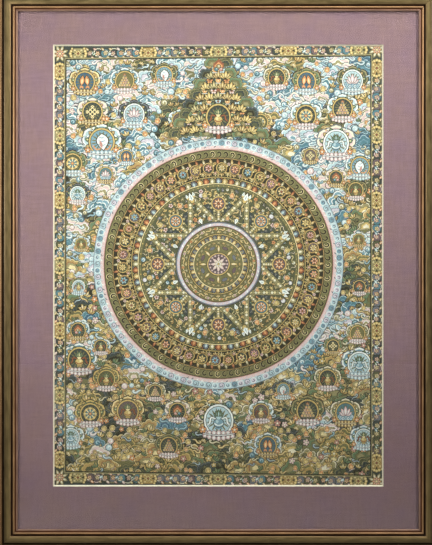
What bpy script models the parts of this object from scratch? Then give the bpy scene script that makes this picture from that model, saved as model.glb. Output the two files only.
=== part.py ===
"""Thangka cloth painting in a gilt wood frame.

The painted cloth lies flat behind a linen-faced window mat and glass. Four mitred rails hold the stack in
their rebate, with a backing board behind it.

Metres, +Z up, +X to the viewer's right. The front faces -Y and the wall is the plane Y = 0. The origin is
the middle of the top rail's back face, where the frame hangs on the wall.
"""

from math import cos, pi, radians, sin

import bmesh
import bpy
from mathutils import Vector

# The sight is the opening that the rails leave
SIGHT_WIDTH = 0.600
SIGHT_HEIGHT = 0.775

# The moulding
RAIL_WIDTH = 0.027
REBATE_WIDTH = 0.006
MITRE_GAP = 0.0003

# The window in the mat, whose lower margin is the widest
WINDOW_WIDTH = 0.495
WINDOW_HEIGHT = 0.662
MARGIN_TOP = 0.0495

# Thickness of each layer, and the gap between neighbours
LAYER_GAP = 0.0003
GLASS_THICK = 0.0020
LINEN_THICK = 0.0010
BOARD_THICK = 0.0020
CLOTH_THICK = 0.0010
BACKING_THICK = 0.0030
BACKING_RECESS = 0.0017

# How far the cloth reaches under the mat, past the back edge of its window
CLOTH_MARGIN = 0.017

# The mat's bevel is cut at 45 degrees, so it is as wide as the board is thick
BEVEL_WIDTH = BOARD_THICK

# Places that follow from the sizes above
OUTER_WIDTH = SIGHT_WIDTH + 2 * RAIL_WIDTH
OUTER_HEIGHT = SIGHT_HEIGHT + 2 * RAIL_WIDTH
BACK_FACE_WIDTH = RAIL_WIDTH - REBATE_WIDTH
TOP_Z = BACK_FACE_WIDTH / 2
BOTTOM_Z = TOP_Z - OUTER_HEIGHT
CENTRE_Z = TOP_Z - OUTER_HEIGHT / 2
WINDOW_Z = TOP_Z - RAIL_WIDTH - MARGIN_TOP - WINDOW_HEIGHT / 2

# The front of each layer, counted forward from the wall
BACKING_FRONT = BACKING_RECESS + BACKING_THICK
CLOTH_FRONT = BACKING_FRONT + LAYER_GAP + CLOTH_THICK
BOARD_FRONT = CLOTH_FRONT + LAYER_GAP + BOARD_THICK
LINEN_FRONT = BOARD_FRONT + LAYER_GAP + LINEN_THICK
GLASS_FRONT = LINEN_FRONT + LAYER_GAP + GLASS_THICK
REBATE_DEPTH = GLASS_FRONT + LAYER_GAP

# Every layer but the cloth fills the rebate, one gap short of its walls
LAYER_SIZE = (
    SIGHT_WIDTH + 2 * (REBATE_WIDTH - LAYER_GAP),
    SIGHT_HEIGHT + 2 * (REBATE_WIDTH - LAYER_GAP),
)

# The moulding's front, from the outer edge to the sight: widths across the rail
OUTER_BEAD_WIDTH = 0.0045
OUTER_GROOVE_WIDTH = 0.0020
FACE_WIDTH = 0.0108
INNER_GROOVE_WIDTH = 0.0024
INNER_BEAD_WIDTH = 0.0029
LIP_GROOVE_WIDTH = 0.0020
LIP_WIDTH = RAIL_WIDTH - (
    OUTER_BEAD_WIDTH + OUTER_GROOVE_WIDTH + FACE_WIDTH
    + INNER_GROOVE_WIDTH + INNER_BEAD_WIDTH + LIP_GROOVE_WIDTH
)

# Heights above the wall of the same stretches
OUTER_BEAD_FOOT = 0.0182
FACE_OUTER_HEIGHT = 0.0184
FACE_INNER_HEIGHT = 0.0172
FACE_CROWN = 0.0012
INNER_BEAD_FOOT = 0.0158
LIP_FOOT = 0.0148
LIP_EDGE_HEIGHT = 0.0140
GROOVE_DEPTH = 0.0022
ARC_STEPS = 8


def arc(start, end, rise, steps=ARC_STEPS):
    """Points of a half ellipse from start to end, rise high at its middle, without its last point."""
    points = []
    for step in range(steps):
        turn = pi * step / steps
        share = (1 - cos(turn)) / 2
        across = start[0] + (end[0] - start[0]) * share
        height = start[1] + (end[1] - start[1]) * share + rise * sin(turn)
        points.append((across, height))
    return points


def moulding_profile():
    """The rail's section as (distance from the outer edge, height above the wall), anticlockwise."""
    bead_end = OUTER_BEAD_WIDTH
    face_start = bead_end + OUTER_GROOVE_WIDTH
    face_end = face_start + FACE_WIDTH
    inner_bead_start = face_end + INNER_GROOVE_WIDTH
    inner_bead_end = inner_bead_start + INNER_BEAD_WIDTH
    lip_start = inner_bead_end + LIP_GROOVE_WIDTH
    bead_rise = OUTER_BEAD_WIDTH / 2
    inner_bead_rise = INNER_BEAD_WIDTH / 2
    lip_rise = LIP_WIDTH / 4

    front = []
    front += arc((0, OUTER_BEAD_FOOT), (bead_end, OUTER_BEAD_FOOT), bead_rise)
    front += arc((bead_end, OUTER_BEAD_FOOT), (face_start, FACE_OUTER_HEIGHT), -GROOVE_DEPTH)
    front += arc((face_start, FACE_OUTER_HEIGHT), (face_end, FACE_INNER_HEIGHT), FACE_CROWN)
    front += arc((face_end, FACE_INNER_HEIGHT), (inner_bead_start, INNER_BEAD_FOOT), -GROOVE_DEPTH)
    front += arc((inner_bead_start, INNER_BEAD_FOOT), (inner_bead_end, INNER_BEAD_FOOT), inner_bead_rise)
    front += arc((inner_bead_end, INNER_BEAD_FOOT), (lip_start, LIP_FOOT), -GROOVE_DEPTH / 2)
    front += arc((lip_start, LIP_FOOT), (RAIL_WIDTH, LIP_EDGE_HEIGHT), lip_rise)
    front.append((RAIL_WIDTH, LIP_EDGE_HEIGHT))

    back = [
        (RAIL_WIDTH, REBATE_DEPTH),
        (BACK_FACE_WIDTH, REBATE_DEPTH),
        (BACK_FACE_WIDTH, 0),
        (0, 0),
    ]
    return front + back


def material(name, colour, roughness, metallic=0.0, transmission=0.0):
    """A material with one Principled BSDF."""
    made = bpy.data.materials.new(name)
    made.use_nodes = True
    made.diffuse_color = (*colour, 1)
    shader = made.node_tree.nodes["Principled BSDF"]
    shader.inputs["Base Color"].default_value = (*colour, 1)
    shader.inputs["Roughness"].default_value = roughness
    shader.inputs["Metallic"].default_value = metallic
    shader.inputs["Transmission Weight"].default_value = transmission
    return made


def add_object(name, bm, finish):
    """Turns a bmesh into a named object in the scene, its faces pointing out."""
    bmesh.ops.recalc_face_normals(bm, faces=bm.faces)
    mesh = bpy.data.meshes.new(name)
    bm.to_mesh(mesh)
    bm.free()
    mesh.materials.append(finish)
    made = bpy.data.objects.new(name, mesh)
    bpy.context.collection.objects.link(made)
    return made


def add_rail(name, length, turn, place, finish):
    """One mitred rail, made as the top rail is and then turned about Y. length is its outer edge's."""
    mitre_setback = MITRE_GAP / 2 ** 0.5
    bm = bmesh.new()
    ends = []
    for side in (-1, 1):
        ring = []
        for across, height in moulding_profile():
            along = side * (length / 2 - across - mitre_setback)
            ring.append(bm.verts.new((along, -height, -across)))
        ends.append(ring)
        bm.faces.new(ring)
    count = len(ends[0])
    for i in range(count):
        j = (i + 1) % count
        bm.faces.new((ends[0][i], ends[0][j], ends[1][j], ends[1][i]))
    rail = add_object(name, bm, finish)
    rail.location = place
    rail.rotation_euler = (0, radians(turn), 0)
    rail.data.shade_smooth()
    rail.data.set_sharp_from_angle(angle=radians(35))
    return rail


def loop_points(width, height, centre_z, y):
    """The corners of an upright rectangle in the plane Y = y."""
    return [
        Vector((sx * width / 2, y, centre_z + sz * height / 2))
        for sx, sz in ((-1, -1), (1, -1), (1, 1), (-1, 1))
    ]


def add_panel(name, size, centre_z, front, thick, finish):
    """A plain flat panel whose front lies the given distance from the wall."""
    bm = bmesh.new()
    front_ring = [bm.verts.new(p) for p in loop_points(*size, centre_z, -front)]
    back_ring = [bm.verts.new(p) for p in loop_points(*size, centre_z, -front + thick)]
    bm.faces.new(front_ring)
    bm.faces.new(back_ring)
    for i in range(4):
        j = (i + 1) % 4
        bm.faces.new((front_ring[i], front_ring[j], back_ring[j], back_ring[i]))
    return add_object(name, bm, finish)


def add_window_panel(name, front, thick, bevel, finish):
    """A panel with the mat's window, which narrows towards the back by bevel on each side."""
    outer = (*LAYER_SIZE, CENTRE_Z)
    front_window = (WINDOW_WIDTH, WINDOW_HEIGHT, WINDOW_Z)
    back_window = (WINDOW_WIDTH - 2 * bevel, WINDOW_HEIGHT - 2 * bevel, WINDOW_Z)
    bm = bmesh.new()
    rings = []
    for (width, height, centre_z), y in (
        (outer, -front),
        (front_window, -front),
        (back_window, -front + thick),
        (outer, -front + thick),
    ):
        rings.append([bm.verts.new(p) for p in loop_points(width, height, centre_z, y)])
    for ring, next_ring in zip(rings, rings[1:] + rings[:1]):
        for i in range(4):
            j = (i + 1) % 4
            bm.faces.new((ring[i], ring[j], next_ring[j], next_ring[i]))
    return add_object(name, bm, finish)


def add_rails():
    gilt = material("gilt_wood", (0.50, 0.38, 0.14), 0.38, metallic=0.55)
    add_rail("rail_top", OUTER_WIDTH, 0, (0, 0, TOP_Z), gilt)
    add_rail("rail_right", OUTER_HEIGHT, 90, (OUTER_WIDTH / 2, 0, CENTRE_Z), gilt)
    add_rail("rail_bottom", OUTER_WIDTH, 180, (0, 0, BOTTOM_Z), gilt)
    add_rail("rail_left", OUTER_HEIGHT, -90, (-OUTER_WIDTH / 2, 0, CENTRE_Z), gilt)


def add_glazing():
    clear = material("picture_glass", (0.95, 0.97, 0.96), 0.03, transmission=1.0)
    add_panel("glass", LAYER_SIZE, CENTRE_Z, GLASS_FRONT, GLASS_THICK, clear)


def add_mat():
    linen = material("mauve_linen", (0.37, 0.24, 0.27), 0.9)
    board = material("cream_board", (0.80, 0.72, 0.58), 0.85)
    add_window_panel("mat_linen", LINEN_FRONT, LINEN_THICK, 0, linen)
    add_window_panel("mat_board", BOARD_FRONT, BOARD_THICK, BEVEL_WIDTH, board)


def add_cloth():
    paint = material("painted_cotton", (0.24, 0.23, 0.14), 0.7)
    cloth_size = (
        WINDOW_WIDTH - 2 * BEVEL_WIDTH + 2 * CLOTH_MARGIN,
        WINDOW_HEIGHT - 2 * BEVEL_WIDTH + 2 * CLOTH_MARGIN,
    )
    add_panel("thangka_cloth", cloth_size, WINDOW_Z, CLOTH_FRONT, CLOTH_THICK, paint)


def add_backing():
    hardboard = material("hardboard", (0.26, 0.15, 0.08), 0.8)
    add_panel("backing_board", LAYER_SIZE, CENTRE_Z, BACKING_FRONT, BACKING_THICK, hardboard)


def main():
    for old in list(bpy.data.objects):
        bpy.data.objects.remove(old, do_unlink=True)
    add_rails()
    add_glazing()
    add_mat()
    add_cloth()
    add_backing()


main()
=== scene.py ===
"""Looks of a mandala thangka cloth painting in a gilt wood frame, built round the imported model.

The painting is a generic design of its own. It is drawn as flat shapes, in millimetres from the middle of
the mat's window, with x to the right and y up, as complex numbers. The shapes overlap as brush work does,
and plan_film() turns them into one flat mesh in which each face has its pigment.
"""

import cmath
import random
from math import cos, pi, radians, sin

import bmesh
import bpy
import numpy as np
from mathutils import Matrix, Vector
from mathutils.geometry import delaunay_2d_cdt


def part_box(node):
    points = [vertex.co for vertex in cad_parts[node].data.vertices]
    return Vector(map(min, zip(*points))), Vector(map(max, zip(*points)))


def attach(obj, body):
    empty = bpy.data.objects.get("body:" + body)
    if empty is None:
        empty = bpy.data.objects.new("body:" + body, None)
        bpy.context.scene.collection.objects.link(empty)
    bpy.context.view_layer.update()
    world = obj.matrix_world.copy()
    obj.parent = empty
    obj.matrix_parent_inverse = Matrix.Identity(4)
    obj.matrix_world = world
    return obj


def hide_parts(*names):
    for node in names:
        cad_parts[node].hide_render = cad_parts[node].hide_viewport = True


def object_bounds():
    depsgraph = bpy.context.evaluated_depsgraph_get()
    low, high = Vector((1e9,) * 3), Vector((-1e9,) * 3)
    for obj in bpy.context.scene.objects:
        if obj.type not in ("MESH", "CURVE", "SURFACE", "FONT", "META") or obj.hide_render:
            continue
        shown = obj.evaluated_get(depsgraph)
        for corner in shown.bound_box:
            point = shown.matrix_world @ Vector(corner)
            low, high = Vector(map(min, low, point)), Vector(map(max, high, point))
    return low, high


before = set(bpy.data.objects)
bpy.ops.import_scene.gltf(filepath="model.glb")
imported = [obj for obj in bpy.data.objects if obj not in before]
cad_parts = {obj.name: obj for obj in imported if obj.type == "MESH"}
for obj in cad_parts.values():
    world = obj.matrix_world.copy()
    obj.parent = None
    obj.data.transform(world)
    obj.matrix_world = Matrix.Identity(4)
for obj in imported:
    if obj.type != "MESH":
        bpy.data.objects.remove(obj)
CAD_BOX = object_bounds()

MM = 0.001
TAU = 2 * pi
UP = pi / 2
CORNERS = ((-1, -1), (1, -1), (1, 1), (-1, 1))

# The mat's window, which the painting shows through, in metres
WINDOW_Z = -0.397
WINDOW_SIZE = (0.495, 0.662)


def linear(byte):
    """A part of an sRGB colour, 0 to 255, as linear light."""
    share = byte / 255
    return share / 12.92 if share <= 0.04045 else ((share + 0.055) / 1.055) ** 2.4


def rgb(red, green, blue, alpha=1.0):
    return linear(red), linear(green), linear(blue), alpha


def mesh_object(name, places, faces, *materials):
    """An object from points in metres and faces, one closed piece."""
    mesh = bpy.data.meshes.new(name)
    mesh.from_pydata(places, [], faces)
    mesh.validate()
    for material in materials:
        mesh.materials.append(material)
    made = bpy.data.objects.new(name, mesh)
    bpy.context.collection.objects.link(made)
    return made


# Pigments, as sRGB bytes and the share of gold in them
PIGMENTS = {
    "ink": (54, 50, 37, 0),
    "night": (64, 71, 67, 0),
    "moss": (88, 89, 64, 0),
    "olive": (115, 110, 75, 0),
    "khaki": (149, 140, 102, 0),
    "ochre": (174, 145, 94, 0.2),
    "gold": (200, 174, 112, 0.6),
    "pale_gold": (224, 207, 158, 0.6),
    "cream": (224, 216, 194, 0),
    "white": (224, 227, 222, 0),
    "pink": (214, 188, 184, 0),
    "rose": (188, 138, 126, 0),
    "rust": (144, 90, 64, 0),
    "orange": (208, 148, 100, 0),
    "ice": (174, 196, 202, 0),
    "sky": (120, 153, 166, 0),
    "teal": (86, 122, 132, 0),
    "blue": (68, 96, 116, 0),
    "slate": (108, 111, 118, 0),
    "lilac": (200, 192, 202, 0),
    "plum": (104, 89, 92, 0),
    "leaf": (103, 124, 94, 0),
}


def disc(centre, radius, steps=10, tall=1.0, turn=0.0):
    """Outline of a circle, or of an oval that is tall times as high as it is wide."""
    spin = cmath.rect(1, turn)
    outline = []
    for step in range(steps):
        angle = TAU * step / steps
        outline.append(centre + spin * complex(radius * cos(angle), radius * tall * sin(angle)))
    return outline


def petal(root, length, width, turn=UP, belly=0.9, steps=4):
    """Outline of a pointed petal that grows from its root. A belly under 1 is widest near the root."""
    along = cmath.rect(length, turn)
    across = cmath.rect(width / 2, turn + UP)
    right = []
    left = []
    for step in range(1, steps):
        share = step / steps
        bulge = sin(pi * share ** belly)
        right.append(root + along * share - across * bulge)
        left.append(root + along * share + across * bulge)
    return [root, *right, root + along, *reversed(left)]


def arc(centre, radius, start, end, steps=6):
    """Points along an arc."""
    return [
        centre + cmath.rect(radius, start + (end - start) * step / steps)
        for step in range(steps + 1)
    ]


def spiral(centre, outer, inner, start, sweep, steps=10):
    """Points along a spiral from its outer end in."""
    points = []
    for step in range(steps + 1):
        share = step / steps
        radius = outer + (inner - outer) * share
        points.append(centre + cmath.rect(radius, start + sweep * share))
    return points


def curve(points, steps=4):
    """A smooth path through a few points."""
    path = []
    for i in range(len(points) - 1):
        before = points[max(i - 1, 0)]
        start, end = points[i], points[i + 1]
        after = points[min(i + 2, len(points) - 1)]
        for step in range(steps):
            t = step / steps
            path.append(
                0.5 * (2 * start + (end - before) * t
                       + (2 * before - 5 * start + 4 * end - after) * t * t
                       + (3 * start - before - 3 * end + after) * t ** 3)
            )
    return path + [points[-1]]


def stroke(path, width, tips=(1.0, 1.0)):
    """Outline of a brush line. tips are its widths at the two ends, as shares of the middle's."""
    right = []
    left = []
    last = len(path) - 1
    for i, point in enumerate(path):
        ahead = path[min(i + 1, last)] - path[max(i - 1, 0)]
        if not ahead:
            continue
        share = i / last
        swell = sin(pi * share) ** 0.6 if 0 < share < 1 else 0
        tip = tips[0] * (1 - share) + tips[1] * share
        half = width / 2 * (tip + (1 - tip) * swell)
        side = 1j * ahead / abs(ahead) * half
        right.append(point - side)
        if half > 0.02 * width:
            left.append(point + side)
    return right + left[::-1]


def placed(fill, at, size=1.0, turn=0.0, flip=False):
    """A fill that draws a motif of unit size at a place on the cloth."""
    factor = cmath.rect(size, turn)

    def inner(pigment, outline):
        if flip:
            outline = [-point.conjugate() for point in reversed(outline)]
        fill(pigment, [at + factor * point for point in outline])

    return inner


# Small motifs of unit size, centred on 0


def inked(fill, pigment, outline, edge="ink", grow=1.14):
    """A shape with a dark line round it."""
    middle = sum(outline) / len(outline)
    fill(edge, [middle + (point - middle) * grow for point in outline])
    fill(pigment, outline)


def leaf(fill, root, length, width, turn, colours, steps=4):
    """One petal or leaf: its edge, its body and a lighter or darker heart."""
    edge, body, heart = colours
    step = cmath.rect(length, turn)
    fill(edge, petal(root - step * 0.06, length * 1.14, width * 1.34, turn, steps=steps))
    fill(body, petal(root, length, width, turn, steps=steps))
    fill(heart, petal(root + step * 0.12, length * 0.62, width * 0.42, turn, steps=3))


def blossom(fill, count, colours, heart="gold"):
    """A round flower seen from the front."""
    for i in range(count):
        leaf(fill, 0, 1.0, 3.3 / count, TAU * i / count + UP, colours)
    fill("ink", disc(0, 0.34, 8))
    fill(heart, disc(0, 0.26, 7))


def daisy(fill, body, heart, edge="ink"):
    """A small flower of five round petals."""
    for i in range(5):
        fill(edge, disc(cmath.rect(0.6, TAU * i / 5 + UP), 0.44, 6))
    for i in range(5):
        fill(body, disc(cmath.rect(0.58, TAU * i / 5 + UP), 0.33, 6))
    fill(heart, disc(0, 0.3, 6))


def curl(fill, body, line, edge="ink"):
    """A round curl of cloud, water or foliage."""
    fill(edge, disc(0, 1.0, 9))
    fill(body, disc(0.04j, 0.84, 8))
    fill(line, stroke(spiral(0, 0.68, 0.12, -0.3, 5.0, 7), 0.28, (0.3, 1.2)))


def wisp(fill, body, line, edge="ink"):
    """A drifting tail of cloud, foliage or grass that ends in a hook."""
    path = curve([-1.7 - 0.3j, -0.7 + 0.15j, 0.2 - 0.15j, 0.9 + 0.1j, 1.0 + 0.62j, 0.5 + 0.6j], 2)
    fill(edge, stroke(path, 0.86, (0.1, 0.5)))
    fill(body, stroke(path, 0.58, (0.1, 0.5)))
    fill(line, stroke(path, 0.2, (0.1, 1.0)))


def sprig(fill, body, light, edge="ink"):
    """Three leaves on a short stem."""
    for turn in (-0.85, 0.85, 0):
        fill(edge, petal(-0.7j, 1.75 - 0.25 * abs(turn), 0.86, UP + turn, steps=3))
        fill(body, petal(-0.6j, 1.5 - 0.25 * abs(turn), 0.58, UP + turn, steps=3))
        fill(light, petal(-0.3j, 0.95 - 0.2 * abs(turn), 0.2, UP + turn, steps=3))


def bud(fill, body, light, seat="pink", edge="ink"):
    """A small jewel or bud in a halo on a short seat."""
    fill(edge, disc(0.15j, 0.92, 9))
    fill(light, disc(0.15j, 0.80, 9))
    fill(edge, disc(0.15j, 0.66, 8))
    fill(body, petal(-0.72j, 1.75, 1.15, UP, 0.7, 4))
    fill(light, disc(-0.05j, 0.24, 5))
    fill(edge, stroke([-0.95 - 0.74j, 0.95 - 0.74j], 0.5, (0.5, 0.5)))
    fill(seat, stroke([-0.8 - 0.74j, 0.8 - 0.74j], 0.3, (0.5, 0.5)))


def cloud_stream(fill, path, width, body, line, edge):
    """A band of mist along a path, with fine lines in it and curls on both its edges."""
    fill(edge, stroke(path, width * 1.2, (0.1, 0.1)))
    fill(body, stroke(path, width, (0.1, 0.1)))
    for share in (-0.26, 0.26):
        inside = []
        for here, after in zip(path, path[1:]):
            step = after - here
            inside.append(here + 1j * step / abs(step) * width * share)
        fill(line, stroke(inside[1:-1], width * 0.13, (0.3, 0.3)))
    for i in range(2, len(path) - 1, 3):
        step = path[i + 1] - path[i - 1]
        side = 1 if (i // 3) % 2 else -1
        at = path[i] + 1j * step / abs(step) * width * 0.55 * side
        curl(placed(fill, at, width * 0.42, cmath.phase(step), side < 0), body, line, edge)


def lotus_seat(fill, colours, count=7):
    """A lotus seat: petals up and down from a waist."""
    for side in (-1, 1):
        for i in range(count):
            share = 2 * i / (count - 1) - 1
            lean = UP * side - share * 0.75 * side
            root = complex(share * 0.86, 0.02 * side + 0.1 * share * share)
            leaf(fill, root, 0.36 - 0.08 * abs(share), 0.34, lean, colours, 3)
    waist = curve([-1.0 + 0.12j, 0j, 1.0 + 0.12j], 3)
    fill("plum", stroke(waist, 0.13))
    fill(colours[2], stroke(waist, 0.05))


def aureole(fill, ground, rim="gold", rays="olive"):
    """The ringed ground behind a jewel or a vase, with rays."""
    fill("ink", disc(0.1j, 1.10, 18, 1.08))
    fill(rim, disc(0.1j, 1.04, 18, 1.08))
    fill("ink", disc(0.1j, 0.92, 16, 1.08))
    fill(ground, disc(0.1j, 0.88, 16, 1.08))
    for i in range(16):
        angle = TAU * (i + 0.5) / 16
        fill(rays, petal(0.1j + cmath.rect(0.4, angle), 0.46, 0.12, angle, steps=3))


def jewels(fill):
    """Three jewels in a flame."""
    for i, colour in enumerate(("rust", "orange", "pale_gold")):
        size = 1 - 0.24 * i
        fill(colour, petal(-0.62j, 1.7 * size, 1.5 * size, UP, 0.75, 6))
        for side in (-1, 1):
            fill(colour, petal(-0.5j, 1.25 * size, 0.62 * size, UP - 0.62 * side, 0.8, 4))
    for at, colour, light in (
        (-0.3 - 0.36j, "teal", "ice"), (0.3 - 0.36j, "rose", "pink"), (0.02j, "khaki", "cream"),
    ):
        fill("ink", disc(at, 0.33, 9))
        fill(colour, disc(at, 0.27, 8))
        fill(light, disc(at + 0.06 + 0.07j, 0.11, 5))


def vase(fill, body="gold", light="pale_gold", band="rust"):
    """A treasure vase with a spray of leaves and two ribbons."""
    for side in (-1, 1):
        tie = curve([0.2 + 0.02j, 0.72 + 0.22j, 0.86 - 0.3j, 1.1 - 0.5j], 3)
        ribbon = placed(fill, 0, flip=side < 0)
        ribbon("ink", stroke(tie, 0.27, (0.6, 0.3)))
        ribbon(band, stroke(tie, 0.17, (0.6, 0.3)))
    for lean in (-1.0, 1.0, -0.5, 0.5, 0):
        leaf(fill, 0.24j, 0.74 - 0.16 * abs(lean), 0.3, UP - lean, ("ink", "leaf", light))
    inked(fill, body, [-0.34 - 0.86j, 0.34 - 0.86j, 0.16 - 0.62j, -0.16 - 0.62j])
    fill("ink", disc(-0.3j, 0.55, 12, 0.84))
    fill(body, disc(-0.3j, 0.48, 12, 0.84))
    fill(band, stroke(arc(-0.02j, 0.52, -2.5, -0.64, 5), 0.12))
    fill(light, disc(-0.14 - 0.16j, 0.15, 6, 1.3))
    inked(fill, light, [-0.12 + 0.02j, 0.12 + 0.02j, 0.28 + 0.3j, -0.28 + 0.3j])


def wheel(fill, rim="gold", spoke="pale_gold", ground="teal"):
    """An eight-spoked wheel."""
    fill("ink", disc(0, 1.0, 18))
    fill(rim, disc(0, 0.92, 18))
    fill("ink", disc(0, 0.68, 16))
    fill(ground, disc(0, 0.62, 16))
    for i in range(8):
        angle = TAU * i / 8
        fill(spoke, petal(cmath.rect(0.16, angle), 0.86, 0.17, angle, steps=3))
        fill("ink", disc(cmath.rect(0.8, angle + TAU / 16), 0.07, 4))
    fill("ink", disc(0, 0.26, 9))
    fill("orange", disc(0, 0.2, 8))


def knot(fill, line="pale_gold"):
    """The endless knot, as a woven lattice with looped corners."""
    for i in range(4):
        corner = cmath.rect(0.66, TAU * i / 4)
        fill("ink", disc(corner, 0.34, 9))
        fill(line, disc(corner, 0.27, 9))
        fill("ink", disc(corner, 0.13, 6))
    for edge, width in (("ink", 0.27), (line, 0.13)):
        for side in (-1, 1):
            for shift in (-0.42, 0, 0.42):
                along = cmath.rect(0.62, pi / 4 * side)
                middle = cmath.rect(shift, pi / 4 * side + UP)
                fill(edge, stroke([middle - along, middle + along], width))


def conch(fill, body="white", line="sky"):
    """A shell with its spire up and its lip to the right."""
    for side in (-1, 1):
        tie = curve([-0.75j, 0.6 * side - 0.9j, 1.0 * side - 0.4j], 3)
        ribbon = tie if side > 0 else tie[::-1]
        fill("orange", stroke(ribbon, 0.16, (0.5, 0.5)))
    fill("ink", petal(0.95j, 2.05, 1.5, -UP - 0.1, 0.8, 6))
    fill(body, petal(0.86j, 1.85, 1.25, -UP - 0.1, 0.8, 6))
    for i, height in enumerate((0.5, 0.22, -0.1)):
        reach = 0.36 + 0.13 * i
        fill(line, stroke(arc(complex(0, height + 0.25), reach, -2.5, -0.6, 4), 0.1, (0.2, 0.2)))
    fill("rose", petal(0.2 + 0.12j, 0.95, 0.34, -UP - 0.25))


def fishes(fill, body="orange", light="pale_gold"):
    """Two fishes that stand side by side."""
    for side in (-1, 1):
        leaf(fill, 0.42 * side - 0.5j, 1.4, 0.62, UP + 0.12 * side, ("ink", body, light))
        for lean in (-0.5, 0.5):
            fill(body, petal(0.42 * side - 0.52j, 0.5, 0.26, -UP + lean))
        fill("ink", disc(0.36 * side + 0.52j, 0.07, 5))


def parasol(fill, cover="rose", light="cream"):
    """A parasol with a fringe, on a pole."""
    fill("ink", stroke([-1.0j, 0.9j], 0.2))
    fill("gold", stroke([-0.95j, 0.9j], 0.11))
    inked(fill, cover, [-0.95 + 0.1j, 0.95 + 0.1j, *arc(0.1j, 0.74, 0.25, pi - 0.25, 6)])
    for i in range(6):
        x = -0.8 + 0.32 * i
        fill(light if i % 2 else "gold", petal(complex(x, 0.2), 0.5, 0.26, -UP, 0.9, 3))
        fill(light, petal(complex(x * 0.9, 0.2), 0.5 - 0.3 * abs(x) ** 2, 0.09, UP - x * 0.5, 1, 3))
    inked(fill, "gold", disc(0.96j, 0.14, 6))


def bush(fill, body, light, edge="ink"):
    """A tuft of five leaves."""
    fill(edge, disc(-0.1j, 0.86, 8, 0.8))
    for turn in (-1.25, 1.25, -0.66, 0.66, 0):
        leaf(fill, -0.45j, 1.18 - 0.16 * abs(turn), 0.5, UP + turn, (edge, body, light), 3)


def bank(fill, layers, lobes, lean=0.0):
    """A heap of round lobes, as a cloud bank or a rocky hill is drawn. layers are (size, pigment) pairs."""
    for size, colour in layers:
        back = []
        for i in range(lobes):
            angle = pi * (i + 0.5) / lobes
            at = cmath.rect(0.78, angle)
            at = complex(at.real * 1.15 + lean * at.imag, at.imag * 0.95)
            reach = 0.36 * (1.3 if i % 2 else 1.0)
            back += [at * size + point for point in arc(0, reach * size, angle - 1.35, angle + 1.35, 4)]
        fill(colour, [complex(1.3 * size, -0.25 * size), *back, complex(-1.3 * size, -0.25 * size)])


def treasure(fill):
    """A heap of jewels in rows, with a flame on top."""
    for row in range(4):
        for i in range(5 - row):
            at = complex(0.36 * (i - (4 - row) / 2), -0.62 + 0.36 * row)
            bud(placed(fill, at, 0.21), ("orange", "gold", "rose")[(i + row) % 3], "pale_gold", "pink")
    jewels(placed(fill, 0.86j, 0.28))


def pond(fill):
    """A lotus that opens over three rows of waves."""
    for row in range(3):
        for i in range(5 + row % 2):
            at = complex(0.36 * (i - (4 + row % 2) / 2), -0.3 - 0.24 * row)
            fill("blue", disc(at, 0.26, 8))
            fill(("ice", "white")[i % 2], disc(at, 0.2, 8))
            fill("sky", disc(at, 0.12, 6))
    for lean in (-1.15, 1.15, -0.6, 0.6, 0):
        leaf(fill, -0.35j, 1.25 - 0.25 * abs(lean), 0.46, UP + lean, ("plum", "pink", "white"))


# The mandala: rings from the outside in, on the cloth in millimetres

MANDALA_RADIUS = 188.0


def around(fill, count, radius, draw, size, offset=0.0, turn=-UP):
    """Draws a motif count times round a circle. draw takes a fill and the motif's number."""
    for i in range(count):
        angle = TAU * (i + offset) / count
        draw(placed(fill, cmath.rect(radius, angle), size, angle + turn), i)


def ring_band(fill, pigment, outer, inner, parts=4, steps=24):
    """A flat ring, in parts so that each is a simple outline."""
    for part in range(parts):
        start = TAU * part / parts
        end = TAU * (part + 1) / parts
        fill(pigment, arc(0, outer, start, end, steps) + arc(0, inner, end, start, steps))


def cloud_ring(fill, rng):
    """The outer ring: pale curls on the outside, a pink band with short strokes inside."""
    for radius, colour in ((188, "slate"), (187.0, "ice"), (176.5, "lilac")):
        fill(colour, disc(0, radius, 120))
    for i in range(118):
        at = placed(fill, cmath.rect(181.8, TAU * i / 118), 4.5, TAU * i / 118 - UP + rng.uniform(-0.3, 0.3))
        curl(at, rng.choice(("lilac", "ice", "lilac", "ice", "sky")), "slate", ("white", "slate")[i % 2])
    ring_band(fill, "pink", 177.4, 172.4)
    for i in range(150):
        angle = TAU * i / 150
        colour = rng.choice(("white", "lilac", "slate", "lilac"))
        fill(colour, petal(cmath.rect(177.6, angle), 4.6, 1.8, angle + pi - 0.8, 1, 3))
    for radius, colour in ((172.8, "rose"), (171.8, "ink"), (171.0, "moss")):
        fill(colour, disc(0, radius, 120))


def hook_ring(fill):
    """A dark ring with a row of ink hooks edged with gold."""
    ring_band(fill, "olive", 170.6, 159.6)
    for i in range(104):
        at = placed(fill, cmath.rect(165.4, TAU * i / 104), 4.9, TAU * i / 104 - UP)
        hook = spiral(0, 1.0, 0.25, -1.7, 4.4, 8)
        at("khaki" if i % 3 else "pale_gold", stroke(hook, 0.78, (0.5, 1.0)))
        at("ink", stroke(hook, 0.46, (0.3, 1.2)))
    ring_band(fill, "ink", 160.2, 159.4)
    ring_band(fill, "ochre", 159.4, 158.3)
    fill("ink", disc(0, 158.3, 120))


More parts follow.
